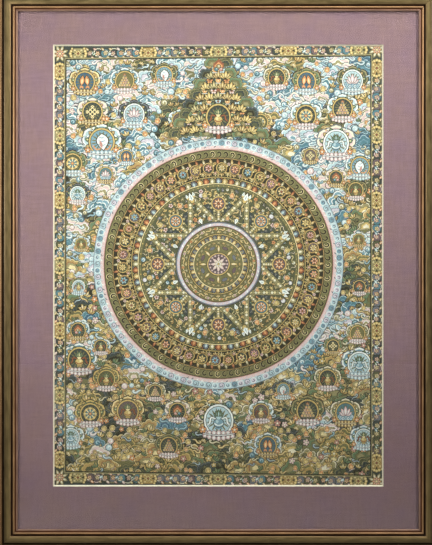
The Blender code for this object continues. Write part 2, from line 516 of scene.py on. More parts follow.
def vine_unit(fill, i):
    """One turn of the vine: a scroll that holds a blossom, with leaves."""
    stem = spiral(0, 1.12, 0.5, -2.6, 4.8, 12)
    fill("ink", disc(0, 1.04, 14))
    fill("gold", disc(0, 0.95, 14))
    fill(("night", "plum", "moss")[i % 3], disc(0, 0.82, 13))
    fill("ink", stroke(stem, 0.34))
    fill("ochre", stroke(stem, 0.2))
    for k in range(3):
        at = stem[1 + 3 * k]
        leaf(fill, at, 0.62, 0.36, cmath.phase(at) + 0.8, ("ink", "gold", "pale_gold"), 3)
    heart = placed(fill, 0, 0.66)
    kinds = (("orange", "pink"), ("gold", "cream"), ("rose", "pink"), ("gold", "pale_gold"), ("sky", "ice"))
    body, light = kinds[i % 5]
    blossom(heart, 6 + i % 3, ("ink", body, light), ("rust", "gold")[i % 2])


def flame_leaf(fill, i):
    """A tall leaf or flame that stands on a ring, alternately gold and dark."""
    body, light = (("ochre", "pale_gold"), ("khaki", "cream"), ("rust", "orange"))[i % 3]
    leaf(fill, -1.0j, 2.1, 0.82, UP + 0.16, ("ink", body, light))
    leaf(fill, -0.95j, 1.1, 0.5, UP - 0.66, ("ink", "olive", "khaki"), 3)


def vine_ring(fill):
    """The broad ring: gold scrolls with flowers between two rows of leaves."""
    around(fill, 92, 153.2, flame_leaf, 5.2)
    around(fill, 46, 144.2, vine_unit, 8.9, 0.25)
    around(fill, 46, 150.6, lambda at, i: daisy(at, ("orange", "pink", "gold")[i % 3], "rust"), 2.7, 0.75)
    around(fill, 92, 134.2, lambda at, i: sprig(at, ("ochre", "khaki")[i % 2], "pale_gold"), 3.9, 0.5, UP)
    around(fill, 46, 136.2, lambda at, i: daisy(at, ("gold", "rose")[i % 2], "cream"), 2.6, 0.75)


def lotus_ring(fill, radius, depth, count, colours, ground):
    """A ring of lotus petals that point outward from a beaded line."""
    for inset, colour in ((-0.8, "ink"), (0, "gold"), (0.9, ground)):
        fill(colour, disc(0, radius - inset, 96))
    width = TAU * (radius - depth / 2) / count * 1.04
    for offset, shade in ((0.5, -1), (0.0, 0)):
        for i in range(count):
            angle = TAU * (i + offset) / count
            body, heart = colours[(i + shade) % len(colours)]
            leaf(fill, cmath.rect(radius - depth, angle), depth - 1.6, width, angle, ("ink", body, heart))
    ring_band(fill, "pale_gold", radius - depth + 1.2, radius - depth)
    fill("ink", disc(0, radius - depth, 96))


def medallion(fill, i):
    """A round seat for a blossom or a wheel, framed by leaves."""
    for k in range(12):
        angle = TAU * k / 12
        leaf(fill, cmath.rect(0.84, angle), 0.42, 0.4, angle, ("ink", "khaki", "pale_gold"), 3)
    for radius, colour in ((0.98, "ink"), (0.92, "gold"), (0.78, "ink"), (0.73, ("plum", "teal")[i % 2])):
        fill(colour, disc(0, radius, 18))
    if i % 2:
        wheel(placed(fill, 0, 0.62), "orange", "cream", "plum")
    else:
        blossom(placed(fill, 0, 0.66), 8, ("ink", "orange", "cream"), "rust")


def spear(fill, i):
    """A white spear head on a gold bud."""
    fill("ink", disc(-0.5j, 0.56, 8))
    fill("gold", disc(-0.5j, 0.44, 8))
    for grow, colour in ((1.2, "ink"), (1.0, "white")):
        fill(colour, petal(-0.45j, 1.7 * grow, 1.05 * grow, UP, 0.55, 4))
    fill("sky", petal(-0.3j, 1.1, 0.2, UP, 0.7, 3))


def beads(fill, start, end, width, colours):
    """A straight band of beads between two lines."""
    count = max(2, round(abs(end - start) / width * 1.15))
    for share, colour in ((1.8, "ink"), (1.56, "khaki"), (1.06, "olive")):
        fill(colour, stroke([start, end], width * share))
    for i in range(count):
        at = start + (end - start) * (i + 0.5) / count
        fill(colours[i % len(colours)], disc(at, width * 0.44, 6))


def leafy_ground(fill, rng, outer, inner):
    """Small leaves, curls and flowers in loose rings."""
    radius = outer
    while radius > inner:
        count = int(TAU * radius / 7.6)
        for i in range(count):
            angle = TAU * (i + rng.random() * 0.5) / count
            spot = cmath.rect(radius + rng.uniform(-1.2, 1.2), angle)
            at = placed(fill, spot, rng.uniform(3.2, 4.4), rng.uniform(0, TAU))
            pick = rng.random()
            if pick < 0.42:
                sprig(at, rng.choice(("ochre", "khaki", "gold")), "pale_gold")
            elif pick < 0.62:
                wisp(placed(at, 0, 0.8), rng.choice(("khaki", "ochre", "slate")), "pale_gold")
            elif pick < 0.72:
                daisy(at, rng.choice(("orange", "gold", "pink")), "rust")
            elif pick < 0.9:
                sprig(at, rng.choice(("slate", "moss", "leaf")), rng.choice(("ice", "khaki", "lilac")))
            else:
                curl(at, rng.choice(("khaki", "sky", "lilac")), "white")
        radius -= 6.0


def star_hall(fill, rng):
    """The hall inside the lotus ring: an eight-pointed star of beaded bands, with spokes, over leaves."""
    fill("moss", disc(0, 116.0, 96))
    leafy_ground(fill, rng, 112.0, 66.0)
    for k in range(8):
        angle = TAU * k / 8
        for side in (-1, 1):
            dark = [cmath.rect(radius, angle + side * lean) for radius, lean in ((70, 0.1), (92, 0.09), (92, 0.24), (72, 0.27))]
            fill("night", dark)
            for step in range(3):
                sprig(placed(fill, cmath.rect(75 + 6 * step, angle + side * 0.175), 3.0, angle - UP), "slate", "khaki")
    corners = [cmath.rect(111.0, TAU * (k + 0.5) / 8) for k in range(8)]
    for k in range(8):
        beads(fill, corners[k], corners[(k + 3) % 8], 4.6, ("cream", "pale_gold", "khaki"))
    around(fill, 8, 91.0, medallion, 12.0, 0.0)
    for k in range(8):
        angle = TAU * k / 8
        beads(fill, cmath.rect(66, angle), cmath.rect(80, angle), 3.6, ("cream", "pale_gold"))
    around(fill, 16, 104.5, lambda at, i: bud(at, ("gold", "orange")[i % 2], "pale_gold"), 5.0, 0.5)
    around(fill, 8, 106.0, spear, 7.4, 0.5)
    around(fill, 8, 71.5, spear, 5.4, 0.5, UP)
    for side in (-0.055, 0.055):
        around(fill, 8, 110.0, spear, 4.0, side * 8 / 2 * 2)
    around(fill, 16, 69.6, lambda at, i: bud(at, "orange", "pale_gold", "lilac"), 3.8, 0.5)


def heart_rings(fill, rng):
    """The pale ring and the small rings inside it, to the rosette at the centre."""
    for radius, colour in ((64.4, "ink"), (63.6, "slate"), (61.6, "lilac")):
        fill(colour, disc(0, radius, 80))
    for i in range(64):
        angle = TAU * i / 64
        fill(rng.choice(("white", "pink", "ice")), petal(cmath.rect(61.6, angle), 4.6, 2.2, angle + pi - 0.7, 1, 3))
    for radius, colour in ((57.6, "rust"), (56.9, "ink"), (56.3, "olive")):
        fill(colour, disc(0, radius, 80))
    around(fill, 32, 51.8, lambda at, i: wisp(placed(at, 0, 0.8), "ochre" if i % 2 else "khaki", "pale_gold"), 4.8, 0.5)
    around(fill, 32, 48.2, lambda at, i: sprig(at, ("gold", "khaki")[i % 2], "cream"), 3.4)
    around(fill, 16, 53.0, lambda at, i: daisy(at, ("orange", "pink")[i % 2], "rust"), 2.4, 0.25)
    lotus_ring(fill, 45.0, 9.0, 40, (("ochre", "pale_gold"), ("slate", "khaki")), "moss")
    fill("olive", disc(0, 35.2, 60))
    around(fill, 28, 31.6, lambda at, i: sprig(at, ("ochre", "khaki")[i % 2], "pale_gold"), 2.8)
    around(fill, 28, 27.4, lambda at, i: daisy(at, ("khaki", "gold")[i % 2], "rust"), 1.5, 0.5)
    around(fill, 8, 25.0, lambda at, i: inked(at, ("slate", "plum")[i % 2], disc(0, 1, 8, 0.55)), 4.4, 0.5)
    around(fill, 8, 22.0, lambda at, i: leaf(at, -1j, 2.5, 0.9, UP, ("ink", "gold", "cream")), 4.4)
    for radius, colour in ((17.6, "ink"), (16.8, "gold"), (15.2, "plum")):
        fill(colour, disc(0, radius, 40))
    around(fill, 16, 12.8, lambda at, i: inked(at, "pink", disc(0, 1, 6)), 1.4)
    blossom(placed(fill, 0, 11.8), 8, ("ink", "pink", "cream"), "orange")
    blossom(placed(fill, 0, 5.6, 0.4), 8, ("rust", "cream", "white"), "gold")


def paint_mandala(fill, rng):
    """All the rings of the mandala."""
    cloud_ring(fill, rng)
    hook_ring(fill)
    vine_ring(fill)
    petals = (("ochre", "pale_gold"), ("slate", "ice"), ("khaki", "cream"), ("rust", "orange"))
    lotus_ring(fill, 131.0, 11.0, 84, petals, "moss")
    ring_band(fill, "olive", 119.2, 115.8)
    around(fill, 96, 117.5, lambda at, i: inked(at, ("gold", "khaki")[i % 2], disc(0, 1, 6)), 1.1)
    star_hall(fill, rng)
    heart_rings(fill, rng)


# The field and the border round the mandala, on the cloth in millimetres from the window's middle

MANDALA_AT = 0.3 + 2.1j
FIELD_HALF = 228.0 + 311.0j
BAND_WIDTH = 19.0
PAINTED_HALF = 253.0 + 337.0j

def block(left, low, right, high):
    """Outline of an upright rectangle."""
    return [complex(left, low), complex(right, low), complex(right, high), complex(left, high)]


def strips(inner, outer):
    """The four rectangles between two upright rectangles, given by their half sizes."""
    return [
        block(-outer.real, inner.imag, outer.real, outer.imag),
        block(-outer.real, -outer.imag, outer.real, -inner.imag),
        block(inner.real, -inner.imag, outer.real, inner.imag),
        block(-outer.real, -inner.imag, -inner.real, inner.imag),
    ]


# The banks of each kind of ground, as (size, pigment) from the outside in
BANKS = {
    "cloud": (
        ((1.0, "slate"), (0.95, "white"), (0.86, "sky"), (0.66, "white"), (0.58, "teal"), (0.36, "white"), (0.28, "ice")),
        ((1.0, "night"), (0.95, "white"), (0.86, "ice"), (0.62, "slate"), (0.56, "lilac"), (0.3, "white"), (0.2, "sky")),
        ((1.0, "slate"), (0.94, "cream"), (0.84, "pink"), (0.6, "white"), (0.52, "khaki"), (0.3, "cream"), (0.22, "pink")),
    ),
    "lake": (
        ((1.0, "night"), (0.94, "sky"), (0.86, "blue"), (0.66, "ice"), (0.6, "teal"), (0.34, "sky"), (0.28, "teal")),
        ((1.0, "ink"), (0.94, "ice"), (0.88, "teal"), (0.62, "sky"), (0.54, "blue"), (0.3, "ice"), (0.24, "teal")),
    ),
    "gold": (
        ((1.0, "ink"), (0.94, "pale_gold"), (0.86, "ochre"), (0.62, "rust"), (0.56, "khaki"), (0.34, "pale_gold")),
        ((1.0, "ink"), (0.94, "cream"), (0.86, "khaki"), (0.64, "olive"), (0.58, "gold"), (0.34, "cream")),
        ((1.0, "ink"), (0.94, "gold"), (0.84, "olive"), (0.6, "gold"), (0.52, "ochre"), (0.3, "moss")),
    ),
    "wood": (
        ((1.0, "ink"), (0.94, "khaki"), (0.86, "moss"), (0.62, "khaki"), (0.56, "night"), (0.32, "moss")),
        ((1.0, "ink"), (0.94, "slate"), (0.87, "night"), (0.6, "moss"), (0.54, "ink"), (0.3, "olive")),
        ((1.0, "ink"), (0.93, "khaki"), (0.86, "leaf"), (0.62, "moss"), (0.56, "olive"), (0.34, "khaki")),
    ),
}
GOLD_SEAT = ("ink", "ochre", "pale_gold")
PINK_SEAT = ("plum", "pink", "white")
BLUE_SEAT = ("slate", "ice", "white")
BANK_PITCH = 25.0
SMALL_PITCH = 11.5


def drift(at, span, phase):
    """A smooth wandering value from about -1 to 1, for patches of ground."""
    x, y = at.real / span, at.imag / span
    return (sin(x * 2.1 + 1.7 * sin(y * 1.3 + phase)) + sin(y * 1.9 + 1.4 * sin(x * 1.1 - phase) + phase)) / 2


def ground_at(at, rng):
    """The kind of ground at a place: more cloud above, more woodland below, in patches."""
    height = at.imag / FIELD_HALF.imag
    patch = drift(at, 40, 1.0) + rng.uniform(-0.3, 0.3)
    other = drift(at, 31, 4.0) + rng.uniform(-0.3, 0.3)
    if patch > 0.15 - height * 0.7:
        return "cloud" if other < 0.25 + height * 0.3 else "lake"
    if patch < -0.4 - height * 0.2:
        return "wood"
    return "gold" if other < 0.45 else "wood"


def in_rows(rng, pitch, rise, jitter):
    """Places in staggered rows over the field, from the top down, but for those under the mandala."""
    rows = int(2 * FIELD_HALF.imag / rise) + 2
    for row in range(rows):
        x = -FIELD_HALF.real - pitch / 2 + (row % 2) * pitch / 2
        while x < FIELD_HALF.real + pitch / 2:
            at = complex(x + rng.uniform(-jitter, jitter), FIELD_HALF.imag + rise / 2 - row * rise + rng.uniform(-jitter, jitter))
            x += pitch
            if abs(at - MANDALA_AT) > MANDALA_RADIUS - pitch / 3:
                yield at


def paint_land(fill, rng):
    """Cloud banks, lakes and hills over the whole field, each row in front of the one above it."""
    for at in in_rows(rng, BANK_PITCH, BANK_PITCH * 0.5, 4.5):
        layers = rng.choice(BANKS[ground_at(at, rng)])
        size = rng.uniform(11, 17)
        bank(placed(fill, at, size, rng.uniform(-0.45, 0.45)), layers, rng.choice((3, 4, 5)), rng.uniform(-0.5, 0.5))


def paint_small(fill, rng):
    """Wisps, leaves, buds and flowers scattered over the land."""
    for at in in_rows(rng, SMALL_PITCH, SMALL_PITCH * 0.8, 3.2):
        kind = ground_at(at, rng)
        motif = placed(fill, at, rng.uniform(3.8, 6.0), rng.uniform(-0.7, 0.7), rng.random() < 0.5)
        pick = rng.random()
        if kind in ("cloud", "lake"):
            body, light = rng.choice((("sky", "white"), ("ice", "white"), ("pink", "white"), ("teal", "ice"), ("khaki", "cream")))
            if pick < 0.36:
                wisp(motif, body, light, rng.choice(("slate", "night")))
            elif pick < 0.6:
                curl(motif, body, light, rng.choice(("slate", "night")))
            elif pick < 0.72:
                bud(motif, rng.choice(("gold", "orange")), "pale_gold", "white")
            elif pick < 0.8:
                sprig(motif, "ochre", "pale_gold")
        elif pick < 0.26:
            sprig(placed(motif, 0, 1.1), *rng.choice((("ochre", "pale_gold"), ("leaf", "khaki"), ("gold", "cream"))))
        elif pick < 0.38:
            wisp(motif, *rng.choice((("khaki", "cream"), ("slate", "ice"), ("ochre", "pale_gold"))))
        elif pick < 0.58:
            bud(motif, rng.choice(("gold", "orange", "ochre", "gold")), "pale_gold")
        elif pick < 0.68:
            daisy(motif, rng.choice(("orange", "gold", "rose", "pink")), "cream")
        elif pick < 0.84:
            bush(motif, *rng.choice((("ochre", "pale_gold"), ("moss", "khaki"), ("gold", "cream"))))


def throne(fill, kind, ground, seat, rim="gold"):
    """A large motif on a lotus seat in an aureole, with two flowers and a crown of leaves."""
    for side in (-1, 1):
        for k in range(4):
            lean = UP - side * (0.35 + 0.5 * k)
            leaf(fill, 0.2j + cmath.rect(0.86, lean), 0.42, 0.3, lean, ("ink", ("leaf", "ochre")[k % 2], "pale_gold"), 3)
    aureole(placed(fill, 0.16j, 0.94), ground, rim)
    kind(placed(fill, 0.28j, 0.68))
    lotus_seat(placed(fill, -0.74j, 0.95), seat)
    for side in (-1, 1):
        daisy(placed(fill, 1.04 * side - 0.36j, 0.26), "orange", "cream")


def gold_vase(fill):
    vase(fill)


def blue_vase(fill):
    vase(fill, "sky", "ice", "white")


def jewel_tree(fill):
    """A tall gold tree of jewels and flowers in tiers, which stands on a lotus seat."""
    for width, colour in ((0.16, "ink"), (0.1, "rust")):
        fill(colour, stroke([-0.9j, 0.9j], width))
    for tier in range(6):
        y = -0.55 + 0.29 * tier
        reach = 0.95 - 0.15 * tier
        count = 8 - tier
        for i in range(count):
            x = reach * (2 * i / (count - 1) - 1)
            at = complex(x, y - 0.1 * abs(x))
            bush(placed(fill, at, 0.17, -0.5 * x), ("ochre", "gold", "khaki")[(i + tier) % 3], "pale_gold")
        for i in range(count - 1):
            x = reach * (2 * (i + 0.5) / (count - 1) - 1)
            at = placed(fill, complex(x, y + 0.12), 0.095)
            if (i + tier) % 2:
                bud(at, "orange", "pale_gold", "white")
            else:
                daisy(at, ("pink", "orange", "ice")[tier % 3], "rust")
    jewels(placed(fill, 1.12j, 0.2))
    throne(placed(fill, -0.38j, 0.36), gold_vase, "night", PINK_SEAT)


# The large motifs: angle in degrees round the mandala, distance from its middle, size, kind, ground, seat
BIG_MOTIFS = (
    (27, 234, 12, gold_vase, "moss", PINK_SEAT),
    (34, 262, 15, conch, "sky", BLUE_SEAT),
    (37, 217, 11, jewels, "night", GOLD_SEAT),
    (45, 249, 20, blue_vase, "ice", PINK_SEAT),
    (49, 214, 10, knot, "plum", GOLD_SEAT),
    (50, 292, 16, treasure, "night", PINK_SEAT),
    (54, 338, 16, pond, "ice", BLUE_SEAT),
    (60, 254, 16, wheel, "night", PINK_SEAT),
    (63, 300, 15, fishes, "blue", BLUE_SEAT),
    (73, 288, 14, gold_vase, "night", PINK_SEAT),
    (74, 222, 12, wheel, "moss", BLUE_SEAT),
    (8, 212, 9, gold_vase, "olive", GOLD_SEAT),
    (-10, 214, 10, jewels, "night", PINK_SEAT),
    (-26, 236, 12, treasure, "olive", PINK_SEAT),
    (-36, 256, 18, blue_vase, "ice", BLUE_SEAT),
    (-37, 216, 10, knot, "night", GOLD_SEAT),
    (-46, 243, 14, gold_vase, "night", PINK_SEAT),
    (-50, 294, 16, pond, "teal", GOLD_SEAT),
    (-50, 340, 14, gold_vase, "ice", BLUE_SEAT),
    (-60, 262, 17, treasure, "night", PINK_SEAT),
    (-63, 217, 11, conch, "sky", BLUE_SEAT),
    (-74, 232, 13, gold_vase, "plum", PINK_SEAT),
    (-75, 284, 14, fishes, "blue", GOLD_SEAT),
)


def paint_field(fill, rng):
    """Everything between the border and the mandala."""
    fill("olive", block(-FIELD_HALF.real - 1, -FIELD_HALF.imag - 1, FIELD_HALF.real + 1, FIELD_HALF.imag + 1))
    paint_land(fill, rng)
    paint_small(fill, rng)
    for side in (-1, 1):
        for i, (angle, reach, size, kind, ground, seat) in enumerate(BIG_MOTIFS):
            if side < 0:
                kind, ground, seat = BIG_MOTIFS[(i * 7 + 3) % len(BIG_MOTIFS)][3:]
            at = MANDALA_AT + cmath.rect(reach, radians(angle)) + complex(rng.uniform(-5, 5), rng.uniform(-5, 5))
            pen = placed(fill, 0, flip=side < 0)
            cloud = rng.choice(BANKS[rng.choice(("cloud", "wood", "cloud", "gold"))])
            bank(placed(pen, at + 0.2j * size, size * 1.25), cloud[:3], 7)
            throne(placed(pen, at, size), kind, ground, seat, "white" if ground == "ice" else "gold")
    for row in range(8):
        for i in range(row + 2):
            at = complex(0.3 + (8 + 8 * row) * (2 * i / (row + 1) - 1), 300 - 15 * row)
            at += complex(rng.uniform(-1.5, 1.5), rng.uniform(-1.5, 1.5))
            bank(placed(fill, at, 11, rng.uniform(-0.2, 0.2)), rng.choice(BANKS["wood"]), 5)
    jewel_tree(placed(fill, 0.3 + 238j, 54))
    throne(placed(fill, 0.3 - 238j, 23), blue_vase, "ice", PINK_SEAT, "white")


def bracket(fill, side):
    """A gold scalloped bracket of the border, open to one side."""
    lobes = (
        (0.0, 0.84, 0.2), (0.16 * side, 0.42, 0.26), (0.3 * side, 0, 0.26), (0.16 * side, -0.42, 0.26), (0, -0.84, 0.2),
    )
    for grow, colour in ((1.3, "ink"), (1.0, "gold"), (0.5, "pale_gold")):
        for x, y, reach in lobes:
            fill(colour, disc(complex(x, y), reach * grow, 8))
    fill("ink", disc(-0.2 * side, 0.16, 6))


def border_panel(fill, i):
    """A brocade panel between two brackets."""
    fill("ink", [complex(sx * 1.0, sz * 0.98) for sx, sz in CORNERS])
    fill(("khaki", "ochre")[i % 2], [complex(sx * 0.95, sz * 0.86) for sx, sz in CORNERS])
    blossom(placed(fill, 0, 0.66), 8, ("ink", "gold", "pale_gold"), "rust")
    for side in (-1, 1):
        bracket(placed(fill, 1.02 * side, 0.98), side)
        for z in (-0.56, 0.56):
            fill("pale_gold", petal(complex(0.34 * side, z), 0.4, 0.24, 0 if side > 0 else pi, 1, 3))


def border_scroll(fill, rng, half):
    """A stretch of scrolling stem with leaves and flowers."""
    turns = max(2, round(2 * half / 1.3))
    for k in range(turns):
        x = -half + 2 * half * (k + 0.5) / turns
        part = placed(fill, complex(x, 0), 0.92, pi if k % 2 else 0)
        ground = rng.choice(("slate", "teal", "plum", "moss", "night"))
        part("ink", disc(0, 0.9, 12))
        part(ground, disc(0, 0.8, 12))
        part("ink", stroke(spiral(0, 1.0, 0.2, -2.4, 5.4, 12), 0.34, (0.4, 1)))
        part(rng.choice(("cream", "khaki", "pink")), stroke(spiral(0, 1.0, 0.2, -2.4, 5.4, 12), 0.18, (0.4, 1)))
        leaf(part, 0.3 - 0.1j, 0.85, 0.46, 0.6, ("ink", rng.choice(("sky", "leaf", "ice")), "white"))
        leaf(part, -0.2 + 0.5j, 0.8, 0.44, 2.4, ("ink", rng.choice(("pink", "ochre", "orange")), "cream"))
        leaf(part, 0.2 - 0.6j, 0.7, 0.4, -0.5, ("ink", rng.choice(("gold", "ochre", "rose")), "cream"))
        blossom(placed(part, 0, 0.44), 5, ("ink", rng.choice(("orange", "gold", "rose")), "cream"))


def paint_border(fill, rng):
    """The painted band round the field: corner flowers, brocade panels and scrollwork on a dark ground."""
    for strip in strips(FIELD_HALF, PAINTED_HALF):
        fill("night", strip)
    middle = FIELD_HALF + BAND_WIDTH / 2 * (1 + 1j)
    size = BAND_WIDTH / 2 * 0.94
    for side in range(4):
        across = side % 2
        run = (middle.imag if across else middle.real) * 2 - BAND_WIDTH * 1.5
        reach = middle.real if across else middle.imag
        panels = 7 if across else 5
        pitch = (run - 2.9 * size) / (panels - 1)
        turn = -UP * side
        spin = cmath.rect(1, turn)
        for i in range(panels - 1):
            x = -run / 2 + 1.45 * size + pitch * (i + 0.5)
            border_scroll(placed(fill, spin * complex(x, reach), size, turn), rng, pitch / 2 / size - 1.3)
        for i in range(panels):
            x = -run / 2 + 1.45 * size + pitch * i
            border_panel(placed(fill, spin * complex(x, reach), size, turn), i + side)
    for sx, sz in CORNERS:
        corner = placed(fill, complex(sx * middle.real, sz * middle.imag), 9.4)
        for k in range(8):
            lean = TAU * (k + 0.5) / 8
            leaf(corner, cmath.rect(0.4, lean), 1.0, 0.55, lean, ("ink", "khaki", "cream"))
        blossom(placed(corner, 0, 0.75), 8, ("ink", "orange", "pink"), "pale_gold")
    for start, end in zip(CORNERS, CORNERS[1:] + CORNERS[:1]):
        a = complex(start[0] * (FIELD_HALF.real + 0.5), start[1] * (FIELD_HALF.imag + 0.5))
        b = complex(end[0] * (FIELD_HALF.real + 0.5), end[1] * (FIELD_HALF.imag + 0.5))
        fill("khaki", stroke([a * 1.006, b * 1.006], 1.6))
        fill("ink", stroke([a, b], 1.8))


# How far one film of paint reaches over the next, and how much taller the field is at its right than at its
# middle, as a share
FILM_OVERLAP = 0.6
OUT_OF_SQUARE = 0.009

# A film's thickness in metres
FILM_THICK = 0.00005

# The pigments in linear light, with the share of gold as alpha
PAINT = {name: rgb(*values) for name, values in PIGMENTS.items()}


# From paint shapes to a mesh

# Points nearer than this merge, and an outline's point this near the line past it goes, in millimetres
MERGE = 0.002
FLATNESS = 0.05
OUTSIDE = -1


def turned_left(outline):
    """The same outline, counter-clockwise."""
    twice_area = sum((a.conjugate() * b).imag for a, b in zip(outline, outline[1:] + outline[:1]))
    return outline if twice_area > 0 else outline[::-1]


def winds_round(outline, x, y):
    """Whether an outline goes round a point."""
    turns = 0
    for a, b in zip(outline, outline[1:] + outline[:1]):
        if (a.imag > y) == (b.imag > y):
            continue
        if a.real + (b.real - a.real) * (y - a.imag) / (b.imag - a.imag) > x:
            turns += 1 if b.imag > a.imag else -1
    return turns != 0


def topmost(shapes):
    """Lays the shapes over each other. Returns points, triangles and each triangle's number in shapes."""
    points = []
    faces = []
    for _, outline in shapes:
        faces.append(range(len(points), len(points) + len(outline)))
        points += [Vector((point.real, point.imag)) for point in turned_left(outline)]
    verts, _, triangles, _, _, owners = delaunay_2d_cdt(points, [], faces, 0, MERGE)
    middles = [(verts[a] + verts[b] + verts[c]) / 3 for a, b, c in triangles]
    # Now and then the mesher loses an edge, and that shape's number spills past its outline
    reach = [(outline[0], max(abs(point - outline[0]) for point in outline)) for _, outline in shapes]
    spilt = set()
    for (x, y), owner in zip(middles, owners):
        for number in owner:
            if number not in spilt and abs(complex(x, y) - reach[number][0]) > reach[number][1] + MERGE:
                spilt.add(number)
    tops = []
    for (x, y), owner in zip(middles, owners):
        real = [n for n in owner if n not in spilt or winds_round(shapes[n][1], x, y)]
        tops.append(max(real, default=OUTSIDE))
    return verts, triangles, tops


def outlines_that_show(triangles, labels):
    """The edges between unlike labels, as {(start, end): (label on the left, label on the right)}."""
    left = {}
    for (a, b, c), label in zip(triangles, labels):
        left[a, b] = left[b, c] = left[c, a] = label
    edges = {}
    for (start, end), label in left.items():
        other = left.get((end, start), OUTSIDE)
        if label != other and (end, start) not in edges:
            edges[start, end] = (label, other)
    return edges


def smoothed(verts, edges):
    """Drops each point that lies on the line between its two neighbours, but for every second one."""
    near = {}
    for start, end in edges:
        near.setdefault(start, []).append(end)
        near.setdefault(end, []).append(start)
    kept = set()
    for point, ends in near.items():
        if len(ends) != 2 or point in kept:
            continue
        a, b = ends
        if a == b or (a, b) in edges or (b, a) in edges or not near[a] or not near[b]:
            continue
        chord = verts[b] - verts[a]
        gap = verts[point] - verts[a]
        if abs(chord.x * gap.y - chord.y * gap.x) > FLATNESS * chord.length:
            continue
        labels = edges.pop((a, point), None) or edges.pop((point, a))[::-1]
        edges.pop((point, b), None) or edges.pop((b, point))
        edges[a, b] = labels
        kept.update((a, b))
        near[a][near[a].index(point)] = b
        near[b][near[b].index(point)] = a
        near[point] = []
    return edges


def regions(verts, edges):
    """Triangles between the outlines, each with its region's label."""
    numbers = {}
    for edge in edges:
        for point in edge:
            numbers.setdefault(point, len(numbers))
    points = [verts[point] for point in numbers]
    lines = [(numbers[start], numbers[end]) for start, end in edges]
    sides = list(edges.values())
    verts, pieces, triangles, _, origins, _ = delaunay_2d_cdt(points, lines, [], 0, MERGE)
    known = {}
    for (start, end), origin in zip(pieces, origins):
        if not origin:
            continue
        first, last = lines[origin[0]]
        same_way = (verts[end] - verts[start]).dot(points[last] - points[first]) > 0
        left, right = sides[origin[0]] if same_way else sides[origin[0]][::-1]
        known[start, end] = left
        known[end, start] = right

    across = {}
    for number, (a, b, c) in enumerate(triangles):
        for edge in ((a, b), (b, c), (c, a)):
            across[edge] = number
    labels = [None] * len(triangles)
    waiting = []
    for number, (a, b, c) in enumerate(triangles):
        for edge in ((a, b), (b, c), (c, a)):
            if edge in known:
                labels[number] = known[edge]
                waiting.append(number)
                break
    while waiting:
        number = waiting.pop()
        a, b, c = triangles[number]
        for start, end in ((a, b), (b, c), (c, a)):
            other = across.get((end, start))
            if other is not None and labels[other] is None and (start, end) not in known:
                labels[other] = labels[number]
                waiting.append(other)
    return verts, triangles, labels


def plan_film(shapes):
    """The paint's flat mesh: points, triangles and each triangle's pigment. A shape of pigment None is a hole."""
    verts, triangles, tops = topmost(shapes)
    names = [None if top == OUTSIDE else shapes[top][0] for top in tops]
    edges = outlines_that_show(triangles, [OUTSIDE if name is None else name for name in names])
    for _ in range(2):
        edges = smoothed(verts, edges)
    return regions(verts, edges)


def hand_drawn(point):
    """A place on the cloth, pulled about a little: the band isn't quite square and no line is quite true."""
    x, y = point.x, point.y
    skew = OUT_OF_SQUARE * x / FIELD_HALF.real * y * min(1, (y / FIELD_HALF.imag) ** 2)
    wander = sin(x / 31 + 2 * sin(y / 47)) + sin(y / 23 + 1.5 * sin(x / 39))
    return x + 0.22 * wander, y + skew + 0.22 * sin(x / 27 - y / 35 + wander)


def film_object(name, shapes, front, thick, material):
    """A thin closed film of paint whose front is at Y = front. The pigments are a colour on its faces."""
    verts, triangles, labels = plan_film(shapes)
    points = [(point.x, point.y) for point in verts]
    shown = [(face, label) for face, label in zip(triangles, labels) if label not in (None, OUTSIDE)]
    rim = set()
    for (a, b, c), _ in shown:
        for start, end in ((a, b), (b, c), (c, a)):
            if (end, start) in rim:
                rim.remove((end, start))
            else:
                rim.add((start, end))
    rim = {edge: (True, False) for edge in sorted(rim)}
    back_verts, back_triangles, inside = regions(verts, rim)

    numbers = {}
    places = []
    def corner(point, y):
        key = (point.x, point.y, y)
        if key not in numbers:
            x, z = hand_drawn(point)
            numbers[key] = len(places)
            places.append((x * MM, y, WINDOW_Z + z * MM))
        return numbers[key]

    back = front + thick
    faces = [tuple(corner(verts[p], front) for p in face) for face, _ in shown]
    pigments = [label for _, label in shown]
    for (start, end) in rim:
        ring = (verts[end], front), (verts[start], front), (verts[start], back), (verts[end], back)
        faces.append(tuple(corner(point, y) for point, y in ring))
    for face, label in zip(back_triangles, inside):
        if label:
            faces.append(tuple(corner(back_verts[p], back) for p in reversed(face)))
    pigments += ["cream"] * (len(faces) - len(pigments))

    made = mesh_object(name, places, faces, material)
    colours = np.array([PAINT[pigment] for pigment in pigments], dtype=np.float32)
    layer = made.data.attributes.new("pigment", "FLOAT_COLOR", "FACE")
    layer.data.foreach_set("color", colours.ravel())
    return made


# Materials. Noise and weave are in object space, in metres, which is the frame's own space


def principled(name, **values):
    """A new material, its node tree and its shader, with the given sockets set. _ stands for a space."""
    material = bpy.data.materials.new(name)
    material.use_nodes = True
    shader = material.node_tree.nodes["Principled BSDF"]
    for socket, value in values.items():
        shader.inputs[socket.replace("_", " ")].default_value = value
    return material, material.node_tree, shader


def node(tree, kind, inputs=(), **settings):
    """Adds a shader node. inputs maps its sockets to values or to other nodes' outputs."""
    made = tree.nodes.new("ShaderNode" + kind)
    for name, value in settings.items():
        setattr(made, name, value)
    for socket, value in dict(inputs).items():
        if isinstance(value, bpy.types.NodeSocket):
            tree.links.new(value, made.inputs[socket])
        else:
            made.inputs[socket].default_value = value
    return made


def maths(tree, operation, *values):
    return node(tree, "Math", enumerate(values), operation=operation).outputs[0]


